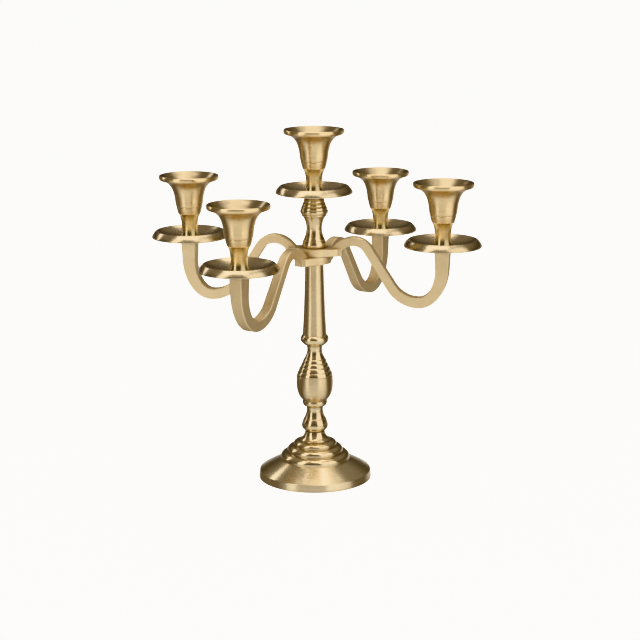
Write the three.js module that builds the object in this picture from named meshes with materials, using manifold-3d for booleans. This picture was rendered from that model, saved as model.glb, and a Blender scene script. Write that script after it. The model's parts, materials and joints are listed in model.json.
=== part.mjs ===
// Five-light tabletop candelabra of satin brass, in millimetres, +Z up.
// The origin is the centre of the foot's underside. The upper arm pair lies along X.

import * as THREE from 'three';
import { mergeVertices } from 'three/addons/utils/BufferGeometryUtils.js';
import Module from 'manifold-3d';

const wasm = await Module();
wasm.setup();

// ---------------------------------------------------------------- driving dimensions

const TOTAL_HEIGHT = 378;       // foot underside to the rim of the centre cup
const GAP = 0.3;                // play between pieces that sit face to face

const FOOT_RADIUS = 61;
const FOOT_TOP = 51;            // where the stem stands on the foot
const FOOT_RIM_HEIGHT = 8.4;    // plain band round the foot's edge
const FOOT_RIM_WIDTH = 4;       // flat ring that the foot stands on
const FOOT_WALL = 3;
const FOOT_RING_RADII = [16.7, 23.2, 30.2, 37.6];   // lips of the stepped rings, from the top down
const FOOT_RING_HEIGHTS = [41, 35.2, 28.2, 20.4];   // crease under each lip
const FOOT_LIP = 1.6;           // upright edge of each ring
const FOOT_BOSS_BOTTOM = 33;    // seat of the washer inside the foot
const FOOT_BOSS_RADIUS = 11;

const VASE_TOP = 78.4;
const BULB_TOP = 146;
const COLUMN_TOP = 236.3;       // shoulder that carries the arms
const BALUSTER_TOP = 307.2;     // seat of the centre pan

const RING_HEIGHT = 8;          // hub ring of an arm pair
const RING_RADIUS = 18;
const RING_STEP = RING_HEIGHT + GAP;
const LOWER_PAIR_ANGLE = 70;    // degrees from the upper pair, set by hand before the arms are clamped

const ARM_REACH = 137;          // column axis to cup axis
const HUMP_AT = 43;             // radius at which the arm is highest
const HUMP_RISE = 12.2;         // arm centreline above the middle of the hub ring
const HUMP_INNER_BEND = 22;
const HUMP_OUTER_BEND = 18;
const ARM_ROOT_SLOPE = 45;      // degrees, where the arm leaves the hub
const ARM_ROOT_LENGTH = 9;      // straight bar between the hub and the hump
const DROP_AT = 112;            // radius at which the arm is lowest
const DROP_DEPTH = 50.7;        // arm centreline below the middle of the hub ring
const DROP_BEND = 34;
const RISER_RISE = 37;          // height of the quarter ellipse that leads into the upright end
const BAR_DEPTH_HUB = 9.6;      // bar section in the plane of the arm
const BAR_DEPTH_END = 16;
const BAR_WIDTH_HUB = 10;       // bar section across the arm
const BAR_WIDTH_END = 15;
const ROOT_BLOCK_END = 30.5;    // the thick root under the bar reaches this far out
const ROOT_BLOCK_WIDTH = 10.8;
const EAR_END = 27;             // the hub narrows in a wedge towards each arm
const EAR_HALF_WIDTH = 7.6;

const PAN_RADIUS = 40.8;
const PAN_HEIGHT = 10.9;        // seat to the crest of the turned-over lip
const PAN_FLOOR = 3.8;          // thickness at the centre
const PAN_SEAT_RADIUS = 14;

const CUP_HEIGHT = TOTAL_HEIGHT - BALUSTER_TOP - PAN_FLOOR - 2 * GAP;
const CUP_RIM_RADIUS = 32;
const CANDLE_BORE_RADIUS = 11.25;   // takes a standard 22 mm taper candle
const CANDLE_BORE_FLOOR = 29.4;     // above the foot of the cup
const PAIR_RIM_DROP = 52;           // upper pair's rims below the centre rim

const ROD_RADIUS = 4;               // M8
const ROD_HOLE_RADIUS = 4.45;
const ROD_BOTTOM = 22;
const ROD_TOP = 174;
const NUT_CORNER_RADIUS = 7.5;      // 13 mm across flats
const NUT_HEIGHT = 6.5;
const WASHER_RADIUS = 8;
const WASHER_THICKNESS = 1.6;
const CLAMP_STUD_BOTTOM = 212;
const CLAMP_STUD_TOP = 273;
const CUP_STUD_RADIUS = 3;          // M6
const CUP_STUD_HOLE_RADIUS = 3.45;
const CUP_STUD_BELOW = 13;          // thread in the arm
const CUP_STUD_ABOVE = 15;          // thread above the arm, through the pan into the cup
const HOLE_RUNOUT = 1.5;            // a blind hole is this much deeper than its screw

const STEM_SIDES = 24;
const FOOT_SIDES = 32;
const CUP_SIDES = 20;
const PAN_SIDES = 24;
const HOLE_SIDES = 16;
const SCREW_SIDES = 12;
const BAR_STEPS = 46;

const LOWER_RING_MIDDLE = COLUMN_TOP + GAP + RING_HEIGHT / 2;
const UPPER_RING_MIDDLE = LOWER_RING_MIDDLE + RING_STEP;
const UPPER_SEAT = TOTAL_HEIGHT - PAIR_RIM_DROP - CUP_HEIGHT - PAN_FLOOR - 2 * GAP;
const SEAT_RISE = UPPER_SEAT - UPPER_RING_MIDDLE;   // arm end above the middle of its hub ring

// ---------------------------------------------------------------- materials

function metal(color, roughness) {
  return new THREE.MeshStandardMaterial({ color, roughness, metalness: 1 });
}

const satinBrass = () => metal(0xc9ab72, 0.34);
const polishedBrass = () => metal(0xc39d58, 0.2);
const castBrass = () => metal(0xc8ae7c, 0.45);
const steel = () => metal(0xa9abad, 0.35);

// ---------------------------------------------------------------- helpers

// A turned piece about Z. The outline lists [radius, height] from axis to axis, up the outside.
function turned(outline, sides) {
  const geometry = new THREE.LatheGeometry(outline.map(([r, z]) => new THREE.Vector2(r, z)), sides);
  geometry.rotateX(Math.PI / 2);
  return geometry;
}

// The same about a hole: the outline closes on itself.
function turnedRing(outline, sides) {
  return turned([...outline, outline[0]], sides);
}

function upright(radius, bottom, top, sides) {
  const geometry = new THREE.CylinderGeometry(radius, radius, top - bottom, sides);
  geometry.rotateX(Math.PI / 2);
  geometry.translate(0, 0, (bottom + top) / 2);
  return geometry;
}

// Points on a quarter ellipse that leaves `from` level and arrives upright at `to`.
function quarterRound(from, to, steps) {
  const list = [];
  for (let i = 1; i <= steps; i += 1) {
    const angle = (i / steps) * (Math.PI / 2);
    const r = from[0] + (to[0] - from[0]) * Math.sin(angle);
    const z = to[1] + (from[1] - to[1]) * Math.cos(angle);
    list.push([r, z]);
  }
  return list;
}

function toSolid(geometry) {
  const bare = geometry.clone();
  bare.deleteAttribute('normal');
  bare.deleteAttribute('uv');
  const merged = mergeVertices(bare, 1e-4);
  return new wasm.Manifold(new wasm.Mesh({
    numProp: 3,
    vertProperties: new Float32Array(merged.attributes.position.array),
    triVerts: new Uint32Array(merged.index.array),
  }));
}

function toGeometry(solid) {
  const mesh = solid.getMesh();
  const geometry = new THREE.BufferGeometry();
  geometry.setAttribute('position', new THREE.BufferAttribute(mesh.vertProperties, 3));
  geometry.setIndex(new THREE.BufferAttribute(mesh.triVerts, 1));
  geometry.computeVertexNormals();
  return geometry;
}

function named(name, geometry, material) {
  const mesh = new THREE.Mesh(geometry, material);
  mesh.name = name;
  return mesh;
}

// ---------------------------------------------------------------- foot and stem

function footGeometry() {
  const last = FOOT_RING_RADII.length - 1;
  const skirtMiddle = [49, 14.9];
  const outside = [
    [FOOT_RADIUS, 0],
    [FOOT_RADIUS, FOOT_RIM_HEIGHT - 0.8],
    [FOOT_RADIUS - 1.2, FOOT_RIM_HEIGHT],
    skirtMiddle,
    [FOOT_RING_RADII[last], FOOT_RING_HEIGHTS[last]],
  ];
  for (let i = last; i > 0; i -= 1) {
    const crease = [FOOT_RING_RADII[i - 1], FOOT_RING_HEIGHTS[i - 1]];
    const lip = [FOOT_RING_RADII[i] - 0.1, FOOT_RING_HEIGHTS[i] + FOOT_LIP];
    outside.push(...quarterRound(crease, lip, 2).reverse(), crease);
  }
  outside.push([FOOT_RING_RADII[0] - 0.2, FOOT_RING_HEIGHTS[0] + 1], [12.4, 46.4], [10.6, FOOT_TOP]);
  const inside = [
    [ROD_HOLE_RADIUS, FOOT_TOP],
    [ROD_HOLE_RADIUS, FOOT_BOSS_BOTTOM],
    [FOOT_BOSS_RADIUS, FOOT_BOSS_BOTTOM],
  ];
  for (let i = 1; i <= last; i += 1) {
    inside.push([FOOT_RING_RADII[i] - FOOT_WALL, FOOT_RING_HEIGHTS[i] - FOOT_WALL / 2]);
  }
  const insideRim = FOOT_RADIUS - FOOT_RIM_WIDTH;
  inside.push([insideRim, FOOT_RIM_HEIGHT - FOOT_WALL], [insideRim, 0]);
  return turnedRing([...outside, ...inside], FOOT_SIDES);
}

function vaseGeometry() {
  const bottom = FOOT_TOP + GAP;
  return turnedRing([
    [10.6, bottom], [12.6, 53.6], [14.1, 55.8], [14.3, 58], [13.8, 61], [12.2, 64.5],
    [10, 69.3], [8.9, 73.8], [9, 77], [9.6, VASE_TOP],
    [ROD_HOLE_RADIUS, VASE_TOP], [ROD_HOLE_RADIUS, bottom],
  ], STEM_SIDES);
}

function bulbGeometry() {
  const bottom = VASE_TOP + GAP;
  return turnedRing([
    [10.2, bottom], [12.8, 81], [13.4, 83.4], [13.3, 85], [16.2, 89.5], [18.2, 94],
    [19.4, 98.5], [19.8, 103], [19.8, 107.5], [19.5, 111.8], [17.3, 118.5], [14, 125.4],
    [11, 132.4], [8.8, 137.6], [8.2, 141], [8.7, BULB_TOP],
    [ROD_HOLE_RADIUS, BULB_TOP], [ROD_HOLE_RADIUS, bottom],
  ], STEM_SIDES);
}

function columnGeometry() {
  const bottom = BULB_TOP + GAP;
  const rodHoleTop = ROD_TOP + HOLE_RUNOUT;
  const studHoleBottom = CLAMP_STUD_BOTTOM - HOLE_RUNOUT;
  return turned([
    [0, rodHoleTop], [ROD_HOLE_RADIUS, rodHoleTop], [ROD_HOLE_RADIUS, bottom],
    [9.4, bottom], [12.4, 148.4], [14.7, 150.8], [15.3, 153.4], [14.7, 156], [13, 158.6],
    [12.7, 163], [11.1, 197], [10, COLUMN_TOP],
    [ROD_HOLE_RADIUS, COLUMN_TOP], [ROD_HOLE_RADIUS, studHoleBottom], [0, studHoleBottom],
  ], STEM_SIDES);
}

function balusterGeometry() {
  const bottom = COLUMN_TOP + GAP + 2 * RING_STEP;
  const studHoleTop = CLAMP_STUD_TOP + HOLE_RUNOUT;
  const cupHoleBottom = BALUSTER_TOP - CUP_STUD_BELOW - HOLE_RUNOUT;
  return turned([
    [0, studHoleTop], [ROD_HOLE_RADIUS, studHoleTop], [ROD_HOLE_RADIUS, bottom],
    [12.2, bottom], [12.8, bottom + 1], [12.7, 257.6], [11.6, 260.8], [9.8, 265], [8.6, 269.4],
    [8.3, 273.4], [8.8, 277.8], [10, 282], [11.6, 285.4], [13.2, 287.6], [14.8, 290.4],
    [14.8, 292.6], [13.7, 295.2], [11.9, 299], [10.1, 303], [9.8, BALUSTER_TOP],
    [CUP_STUD_HOLE_RADIUS, BALUSTER_TOP], [CUP_STUD_HOLE_RADIUS, cupHoleBottom], [0, cupHoleBottom],
  ], STEM_SIDES);
}

// ---------------------------------------------------------------- arm pairs

// The arm's centreline in its own plane: x is the radius, y the height over the hub ring's middle.
function barCentreline() {
  const rootAngle = THREE.MathUtils.degToRad(ARM_ROOT_SLOPE);
  const innerCentre = new THREE.Vector2(HUMP_AT, HUMP_RISE - HUMP_INNER_BEND);
  const outerCentre = new THREE.Vector2(HUMP_AT, HUMP_RISE - HUMP_OUTER_BEND);
  const dropCentre = new THREE.Vector2(DROP_AT, DROP_BEND - DROP_DEPTH);
  // The straight run is the inner tangent of the hump's and the drop's circles.
  const across = dropCentre.clone().sub(outerCentre);
  const turn = Math.acos((HUMP_OUTER_BEND + DROP_BEND) / across.length());
  const slope = Math.PI / 2 - Math.atan2(across.y, across.x) - turn;
  const away = new THREE.Vector2(Math.sin(slope), Math.cos(slope));
  const runStart = outerCentre.clone().addScaledVector(away, HUMP_OUTER_BEND);
  const runEnd = dropCentre.clone().addScaledVector(away, -DROP_BEND);
  const humpStart = new THREE.Vector2(-Math.sin(rootAngle), Math.cos(rootAngle));
  humpStart.multiplyScalar(HUMP_INNER_BEND).add(innerCentre);
  const rootStart = new THREE.Vector2(-Math.cos(rootAngle), -Math.sin(rootAngle));
  rootStart.multiplyScalar(ARM_ROOT_LENGTH).add(humpStart);
  const riserHeight = RISER_RISE - DROP_DEPTH;
  const reach = ARM_REACH - DROP_AT;

  const path = new THREE.CurvePath();
  path.add(new THREE.LineCurve(rootStart, humpStart));
  path.add(new THREE.EllipseCurve(innerCentre.x, innerCentre.y, HUMP_INNER_BEND, HUMP_INNER_BEND,
    Math.PI / 2 + rootAngle, Math.PI / 2, true));
  path.add(new THREE.EllipseCurve(outerCentre.x, outerCentre.y, HUMP_OUTER_BEND, HUMP_OUTER_BEND,
    Math.PI / 2, Math.PI / 2 - slope, true));
  path.add(new THREE.LineCurve(runStart, runEnd));
  path.add(new THREE.EllipseCurve(dropCentre.x, dropCentre.y, DROP_BEND, DROP_BEND,
    1.5 * Math.PI - slope, 1.5 * Math.PI, false));
  path.add(new THREE.EllipseCurve(DROP_AT, riserHeight, reach, RISER_RISE,
    1.5 * Math.PI, 2 * Math.PI, false));
  path.add(new THREE.LineCurve(new THREE.Vector2(ARM_REACH, riserHeight),
    new THREE.Vector2(ARM_REACH, SEAT_RISE)));
  return path;
}

// A long box bent along the centreline. The bar grows towards the cup.
function barGeometry() {
  const path = barCentreline();
  const geometry = new THREE.BoxGeometry(1, 1, 1, BAR_STEPS, 1, 1);
  const position = geometry.attributes.position;
  for (let i = 0; i < position.count; i += 1) {
    const along = position.getX(i) + 0.5;
    const centre = path.getPointAt(along);
    const heading = path.getTangentAt(along);
    const depth = THREE.MathUtils.lerp(BAR_DEPTH_HUB, BAR_DEPTH_END, along ** 3);
    const width = THREE.MathUtils.lerp(BAR_WIDTH_HUB, BAR_WIDTH_END, along ** 1.5);
    const offset = position.getZ(i) * depth;
    position.setXYZ(i, centre.x - heading.y * offset, position.getY(i) * width, centre.y + heading.x * offset);
  }
  return geometry;
}

// One casting: the hub ring with an arm at 0 and at 180 degrees, drilled for the studs.
function armPairGeometry() {
  const half = RING_HEIGHT / 2;
  const wedge = new THREE.Shape([
    [EAR_END, EAR_HALF_WIDTH - 1.5], [EAR_END - 1.5, EAR_HALF_WIDTH], [6.5, 15.6], [-6.5, 15.6],
    [-EAR_END + 1.5, EAR_HALF_WIDTH], [-EAR_END, EAR_HALF_WIDTH - 1.5],
    [-EAR_END, 1.5 - EAR_HALF_WIDTH], [-EAR_END + 1.5, -EAR_HALF_WIDTH], [-6.5, -15.6], [6.5, -15.6],
    [EAR_END - 1.5, -EAR_HALF_WIDTH], [EAR_END, 1.5 - EAR_HALF_WIDTH],
  ].map(([x, y]) => new THREE.Vector2(x, y)));
  const ears = new THREE.ExtrudeGeometry(wedge, { depth: RING_HEIGHT, bevelEnabled: false });
  ears.translate(0, 0, -half);
  const block = new THREE.BoxGeometry(2 * ROOT_BLOCK_END, ROOT_BLOCK_WIDTH, RING_HEIGHT);
  const bar = barGeometry();
  const seatHole = upright(CUP_STUD_HOLE_RADIUS, SEAT_RISE - CUP_STUD_BELOW - HOLE_RUNOUT, SEAT_RISE + 1,
    HOLE_SIDES).translate(ARM_REACH, 0, 0);

  let solid = toSolid(upright(RING_RADIUS, -half, half, FOOT_SIDES)).add(toSolid(ears)).add(toSolid(block));
  for (const side of [0, Math.PI]) {
    solid = solid.add(toSolid(bar.clone().rotateZ(side)));
  }
  for (const side of [0, Math.PI]) {
    solid = solid.subtract(toSolid(seatHole.clone().rotateZ(side)));
  }
  return toGeometry(solid.subtract(toSolid(upright(ROD_HOLE_RADIUS, -half - 1, half + 1, HOLE_SIDES))));
}

// ---------------------------------------------------------------- lights

function panGeometry() {
  const lipRadius = PAN_RADIUS - 5;
  return turnedRing([
    [CUP_STUD_HOLE_RADIUS, 0], [PAN_SEAT_RADIUS, 0], [30.5, 3.4], [lipRadius, PAN_HEIGHT - 2.4],
    [38.8, 4.4], [39.3, 3.2], [40.4, 3.2],
    [PAN_RADIUS, 4.4], [40, 7.3], [37.9, 10],
    [lipRadius, PAN_HEIGHT], [34.4, PAN_HEIGHT - 0.6], [30, 6.6], [22, 4.2],
    [PAN_SEAT_RADIUS, PAN_FLOOR], [CUP_STUD_HOLE_RADIUS, PAN_FLOOR],
  ], PAN_SIDES);
}

function cupGeometry() {
  const studHoleTop = CUP_STUD_ABOVE - PAN_FLOOR - 2 * GAP + HOLE_RUNOUT;
  return turned([
    [0, studHoleTop], [CUP_STUD_HOLE_RADIUS, studHoleTop], [CUP_STUD_HOLE_RADIUS, 0],
    [10.4, 0], [8.7, 7], [8.8, 15], [10, 21.4], [11.8, 25], [13.8, 31.6], [15, 38.2],
    [16.6, 46.6], [18.9, 52.8], [21.9, 57], [24.8, 59.2], [30.6, 61.4],
    [CUP_RIM_RADIUS, 63.4], [31.6, 65.6], [30.6, CUP_HEIGHT],
    [29.4, 65.4], [24.4, 60.8], [17.8, 55.4], [13.4, 49.6], [CANDLE_BORE_RADIUS, 43],
    [CANDLE_BORE_RADIUS, CANDLE_BORE_FLOOR], [0, CANDLE_BORE_FLOOR],
  ], CUP_SIDES);
}

// A pan, a cup and the stud that holds both, standing on a seat at the group's origin.
function lightGroup(place) {
  const group = new THREE.Group();
  const pan = named(`pan_${place}`, panGeometry(), polishedBrass());
  const cup = named(`cup_${place}`, cupGeometry(), satinBrass());
  const stud = named(`cup_stud_${place}`,
    upright(CUP_STUD_RADIUS, -CUP_STUD_BELOW, CUP_STUD_ABOVE, SCREW_SIDES), steel());
  pan.position.z = GAP;
  cup.position.z = 2 * GAP + PAN_FLOOR;
  group.add(pan, cup, stud);
  return group;
}

// ---------------------------------------------------------------- assembly

const candelabra = new THREE.Group();

candelabra.add(named('foot', footGeometry(), satinBrass()));
candelabra.add(named('stem_vase', vaseGeometry(), polishedBrass()));
candelabra.add(named('stem_bulb', bulbGeometry(), satinBrass()));
candelabra.add(named('stem_column', columnGeometry(), satinBrass()));
candelabra.add(named('upper_baluster', balusterGeometry(), polishedBrass()));

candelabra.add(named('tie_rod', upright(ROD_RADIUS, ROD_BOTTOM, ROD_TOP, SCREW_SIDES), steel()));
candelabra.add(named('clamp_stud', upright(ROD_RADIUS, CLAMP_STUD_BOTTOM, CLAMP_STUD_TOP, SCREW_SIDES), steel()));

const washerTop = FOOT_BOSS_BOTTOM - GAP;
const washerBottom = washerTop - WASHER_THICKNESS;
const nutTop = washerBottom - GAP;
candelabra.add(named('tie_washer', turnedRing([
  [ROD_HOLE_RADIUS, washerBottom], [WASHER_RADIUS, washerBottom],
  [WASHER_RADIUS, washerTop], [ROD_HOLE_RADIUS, washerTop],
], STEM_SIDES), steel()));
const nut = toSolid(upright(NUT_CORNER_RADIUS, nutTop - NUT_HEIGHT, nutTop, 6));
const nutHole = toSolid(upright(ROD_HOLE_RADIUS, nutTop - NUT_HEIGHT - 1, nutTop + 1, HOLE_SIDES));
candelabra.add(named('tie_nut', toGeometry(nut.subtract(nutHole)), steel()));

const pairs = [
  { name: 'lower', ring: LOWER_RING_MIDDLE, angle: LOWER_PAIR_ANGLE, places: ['back', 'front'] },
  { name: 'upper', ring: UPPER_RING_MIDDLE, angle: 0, places: ['right', 'left'] },
];
for (const pair of pairs) {
  const group = new THREE.Group();
  group.position.z = pair.ring;
  group.rotation.z = THREE.MathUtils.degToRad(pair.angle);
  group.add(named(`${pair.name}_arm_pair`, armPairGeometry(), castBrass()));
  pair.places.forEach((place, index) => {
    const light = lightGroup(place);
    light.position.set(index === 0 ? ARM_REACH : -ARM_REACH, 0, SEAT_RISE);
    group.add(light);
  });
  candelabra.add(group);
}

const centreLight = lightGroup('centre');
centreLight.position.z = BALUSTER_TOP;
candelabra.add(centreLight);

export default candelabra;
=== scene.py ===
"""The looks of a five-light brass candelabra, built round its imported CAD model. Metres, +Z up."""

import json
import math

import bpy
import numpy as np
from mathutils import Matrix, Vector


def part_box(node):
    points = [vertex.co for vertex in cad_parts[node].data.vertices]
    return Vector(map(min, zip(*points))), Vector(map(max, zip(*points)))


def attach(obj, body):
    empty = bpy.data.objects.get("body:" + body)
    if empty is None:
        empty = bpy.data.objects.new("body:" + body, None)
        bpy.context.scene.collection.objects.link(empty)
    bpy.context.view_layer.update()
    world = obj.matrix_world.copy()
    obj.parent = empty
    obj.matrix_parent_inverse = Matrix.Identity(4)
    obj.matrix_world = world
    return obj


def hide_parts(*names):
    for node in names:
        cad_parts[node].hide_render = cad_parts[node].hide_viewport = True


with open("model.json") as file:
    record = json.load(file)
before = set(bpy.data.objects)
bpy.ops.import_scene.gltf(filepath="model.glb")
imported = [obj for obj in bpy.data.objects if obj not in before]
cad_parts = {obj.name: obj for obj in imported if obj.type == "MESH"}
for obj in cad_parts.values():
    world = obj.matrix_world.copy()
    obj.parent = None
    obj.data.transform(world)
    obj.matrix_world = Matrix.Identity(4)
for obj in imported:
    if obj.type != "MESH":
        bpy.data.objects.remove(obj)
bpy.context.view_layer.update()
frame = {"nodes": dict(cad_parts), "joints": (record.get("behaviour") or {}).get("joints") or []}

# ---------------------------------------------------------------- sizes, in millimetres

MM = 0.001                      # in metres
GAP = 0.3                       # play between pieces that sit face to face

# The turned outlines list (radius, height) along runs. A run is a smooth curve through its
# points, and two runs meet at an edge. They go round the solid with the metal on the left.

EDGE_SOFTNESS = 0.16            # spread of the rounding that every turned edge has
OUTLINE_STEP = 0.08
OUTLINE_TOLERANCE = 0.003

FOOT_SIDES = 160
CUP_SIDES = 128
PAN_SIDES = 144
STEM_SIDES = 112

SCREW_HOLE = 4.45
CUP_SCREW_HOLE = 3.45

# An arm's centreline climbs out of the hub to a hump, drops to a low bend and rises to its cup.
# Heights are over the middle of the hub ring.
ARM_REACH = 137                 # from the stem's axis to a cup's axis
ARM_ROOT_SLOPE = math.radians(45)
ARM_ROOT_LENGTH = 9
HUMP_AT = 43                    # its distance from the stem's axis
HUMP_RISE = 12.2
HUMP_INNER_BEND = 22            # bend radius
HUMP_OUTER_BEND = 18
DROP_AT = 112                   # the lowest point's distance from the stem's axis
DROP_DEPTH = 50.7
DROP_BEND = 34
RISER_RISE = 37                 # from the lowest point to where the arm stands upright
BAR_DEPTH = (9.6, 16)           # at the hub and at the cup
BAR_WIDTH = (10, 15)
BAR_EDGE = 1.0
BAR_STEP = 1.6
RING_HEIGHT = 8
RING_RADIUS = 18
RING_SIDES = 96
ROOT_BLOCK = (61, 10.8, 8)      # length, width and height of the block across the hub
ROOT_CORNER = 0.6
EAR_OUTLINE = [(27, 6.1), (25.5, 7.6), (6.5, 15.6)]   # one quarter of the hub's wedge
SLAB_BEVEL = 0.5
HUB_BORE_REACH = 9              # of the cutter, up and down from the middle of the ring
HUB_BORE_SIDES = 48
SEAT_HOLE_DEPTH = 14.5          # under the cup's seat at the arm's end
SEAT_HOLE_SIDES = 32
SEAT_CUTTER_REACH = 2           # of the cutter over the seat
ARM_SMOOTH_DEGREES = 32

THREAD_DEPTH = 0.61             # share of the pitch
THREAD_SIDES = 24
THREAD_STEPS = 8                # rings to each turn
THREAD_SMOOTH_DEGREES = 50


# ---------------------------------------------------------------- outlines

def through(points, step=OUTLINE_STEP):
    """A centripetal Catmull-Rom curve through the points, or a straight line through two."""
    p = np.array(points, float)
    if len(p) == 2:
        count = max(2, int(np.linalg.norm(p[1] - p[0]) / step) + 1)
        return p[0] + np.linspace(0, 1, count)[:, None] * (p[1] - p[0])
    p = np.vstack([2 * p[0] - p[1], p, 2 * p[-1] - p[-2]])
    knots = np.concatenate([[0], np.cumsum(np.linalg.norm(np.diff(p, axis=0), axis=1) ** 0.5)])
    pieces = []
    for i in range(1, len(p) - 2):
        t0, t1, t2, t3 = knots[i - 1:i + 3]
        count = max(3, int(np.linalg.norm(p[i + 1] - p[i]) / step) + 1)
        t = np.linspace(t1, t2, count)[:, None]
        a1 = ((t1 - t) * p[i - 1] + (t - t0) * p[i]) / (t1 - t0)
        a2 = ((t2 - t) * p[i] + (t - t1) * p[i + 1]) / (t2 - t1)
        a3 = ((t3 - t) * p[i + 1] + (t - t2) * p[i + 2]) / (t3 - t2)
        b1 = ((t2 - t) * a1 + (t - t0) * a2) / (t2 - t0)
        b2 = ((t3 - t) * a2 + (t - t1) * a3) / (t3 - t1)
        pieces.append(((t2 - t) * b1 + (t - t1) * b2) / (t2 - t1))
    return np.vstack(pieces)


def even(points, step):
    """The same line with evenly spaced points."""
    lengths = np.concatenate([[0], np.cumsum(np.linalg.norm(np.diff(points, axis=0), axis=1))])
    keep = np.concatenate([[True], np.diff(lengths) > 1e-9])
    lengths, points = lengths[keep], points[keep]
    at = np.linspace(0, lengths[-1], int(lengths[-1] / step) + 1)
    return np.column_stack([np.interp(at, lengths, points[:, k]) for k in (0, 1)])


def soften(points, closed, spread=EDGE_SOFTNESS, step=OUTLINE_STEP):
    """Rounds every edge of an evenly spaced line a little."""
    reach = int(4 * spread / step)
    weights = np.exp(-0.5 * (np.arange(-reach, reach + 1) * step / spread) ** 2)
    weights /= weights.sum()
    if closed:
        padded = np.vstack([points[-reach - 1:-1], points, points[1:reach + 1]])
    else:
        first = np.column_stack([-points[reach:0:-1, 0], points[reach:0:-1, 1]])
        last = np.column_stack([-points[-2:-reach - 2:-1, 0], points[-2:-reach - 2:-1, 1]])
        padded = np.vstack([first, points, last])
    return np.column_stack([np.convolve(padded[:, k], weights, "valid") for k in (0, 1)])


def thin_out(points, tolerance=OUTLINE_TOLERANCE):
    """Indexes of the points that keep the line within the tolerance (Ramer-Douglas-Peucker)."""
    keep, waiting = {0, len(points) - 1}, [(0, len(points) - 1)]
    while waiting:
        a, b = waiting.pop()
        if b - a < 2:
            continue
        along = points[b] - points[a]
        offset = points[a + 1:b] - points[a]
        length = np.hypot(*along)
        if length < 1e-9:
            away = np.hypot(offset[:, 0], offset[:, 1])
        else:
            away = np.abs(along[0] * offset[:, 1] - along[1] * offset[:, 0]) / length
        worst = int(np.argmax(away))
        if away[worst] > tolerance:
            middle = a + 1 + worst
            keep.add(middle)
            waiting += [(a, middle), (middle, b)]
    return sorted(keep)


def fine_outline(runs):
    """Points and outward normals of an outline. It is closed if it ends where it starts."""
    points = even(np.vstack([through(run) for run in runs]), OUTLINE_STEP)
    closed = np.linalg.norm(points[0] - points[-1]) < 1e-6
    points = soften(points, closed)
    if closed:
        points[-1] = points[0]
        slope = np.roll(points[:-1], -1, 0) - np.roll(points[:-1], 1, 0)
        slope = np.vstack([slope, slope[:1]])
    else:
        points[0, 0] = points[-1, 0] = 0
        slope = np.gradient(points, axis=0)
        slope[0] = (slope[0, 0], 0)
        slope[-1] = (slope[-1, 0], 0)
    normals = np.column_stack([slope[:, 1], -slope[:, 0]])
    normals /= np.linalg.norm(normals, axis=1)[:, None]
    chosen = thin_out(points)
    return points[chosen], normals[chosen], closed


# ---------------------------------------------------------------- mesh pieces

def new_object(name, mesh, place=(0, 0, 0), turn=0.0):
    piece = bpy.data.objects.new(name, mesh)
    piece.location = place
    piece.rotation_euler = (0, 0, turn)
    bpy.context.scene.collection.objects.link(piece)
    return piece


def turned_mesh(name, runs, sides):
    """A lathe mesh about Z with exact normals. Heights and radii come in millimetres."""
    points, normals, closed = fine_outline(runs)
    if closed:
        points, normals = points[:-1], normals[:-1]
    angle = np.linspace(0, 2 * math.pi, sides, endpoint=False)
    around = np.column_stack([np.cos(angle), np.sin(angle)])
    vertices, directions, rings = [], [], []
    for (radius, height), (out, up) in zip(points * MM, normals):
        first = len(vertices)
        if radius < 1e-7:
            vertices.append((0, 0, height))
            directions.append((0, 0, math.copysign(1, up)))
            rings.append([first] * sides)
            continue
        vertices += [(radius * c, radius * s, height) for c, s in around]
        directions += [(out * c, out * s, up) for c, s in around]
        rings.append(list(range(first, first + sides)))
    pairs = list(zip(rings, rings[1:] + rings[:1])) if closed else list(zip(rings, rings[1:]))
    faces = []
    for low, high in pairs:
        for i in range(sides):
            j = (i + 1) % sides
            corners = [low[i], low[j], high[j], high[i]]
            faces.append(list(dict.fromkeys(corners)))
    mesh = bpy.data.meshes.new(name)
    mesh.from_pydata(vertices, [], [f for f in faces if len(f) > 2])
    mesh.shade_smooth()
    mesh.normals_split_custom_set_from_vertices(directions)
    mesh.update()
    return mesh


def smooth_by_angle(mesh, degrees):
    mesh.shade_smooth()
    mesh.set_sharp_from_angle(angle=math.radians(degrees))


def even_shading(piece):
    """Large faces keep their own normals, and the rounding between them takes the bend."""
    modifier = piece.modifiers.new("normals", "WEIGHTED_NORMAL")
    modifier.keep_sharp = True
    return piece


# ---------------------------------------------------------------- where the CAD pieces are

def spot(node):
    """The lowest point of a turned CAD node's axis."""
    low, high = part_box(node)
    return Vector(((low.x + high.x) / 2, (low.y + high.y) / 2, low.z))


def place_piece(piece, body, node):
    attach(piece, body)
    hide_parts(node)


# ---------------------------------------------------------------- foot and stem

def quarter_round(crease, lip, steps=6):
    """Points of a convex ring from its level crease out and down to its upright lip."""
    angles = [math.pi / 2 * k / steps for k in range(steps + 1)]
    return [(crease[0] + (lip[0] - crease[0]) * math.sin(a),
             lip[1] + (crease[1] - lip[1]) * math.cos(a)) for a in angles]


def pillow(start, end, rise):
    """A band between two scribed lines, swollen by the given rise."""
    (r0, z0), (r1, z1) = start, end
    length = math.hypot(r1 - r0, z1 - z0)
    out, up = (z1 - z0) / length, -(r1 - r0) / length
    shares = [(0, 0), (0.12, 0.55), (0.3, 0.9), (0.5, 1), (0.7, 0.9), (0.88, 0.55), (1, 0)]
    return [(r0 + (r1 - r0) * s + out * rise * k, z0 + (z1 - z0) * s + up * rise * k)
            for s, k in shares]


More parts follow.
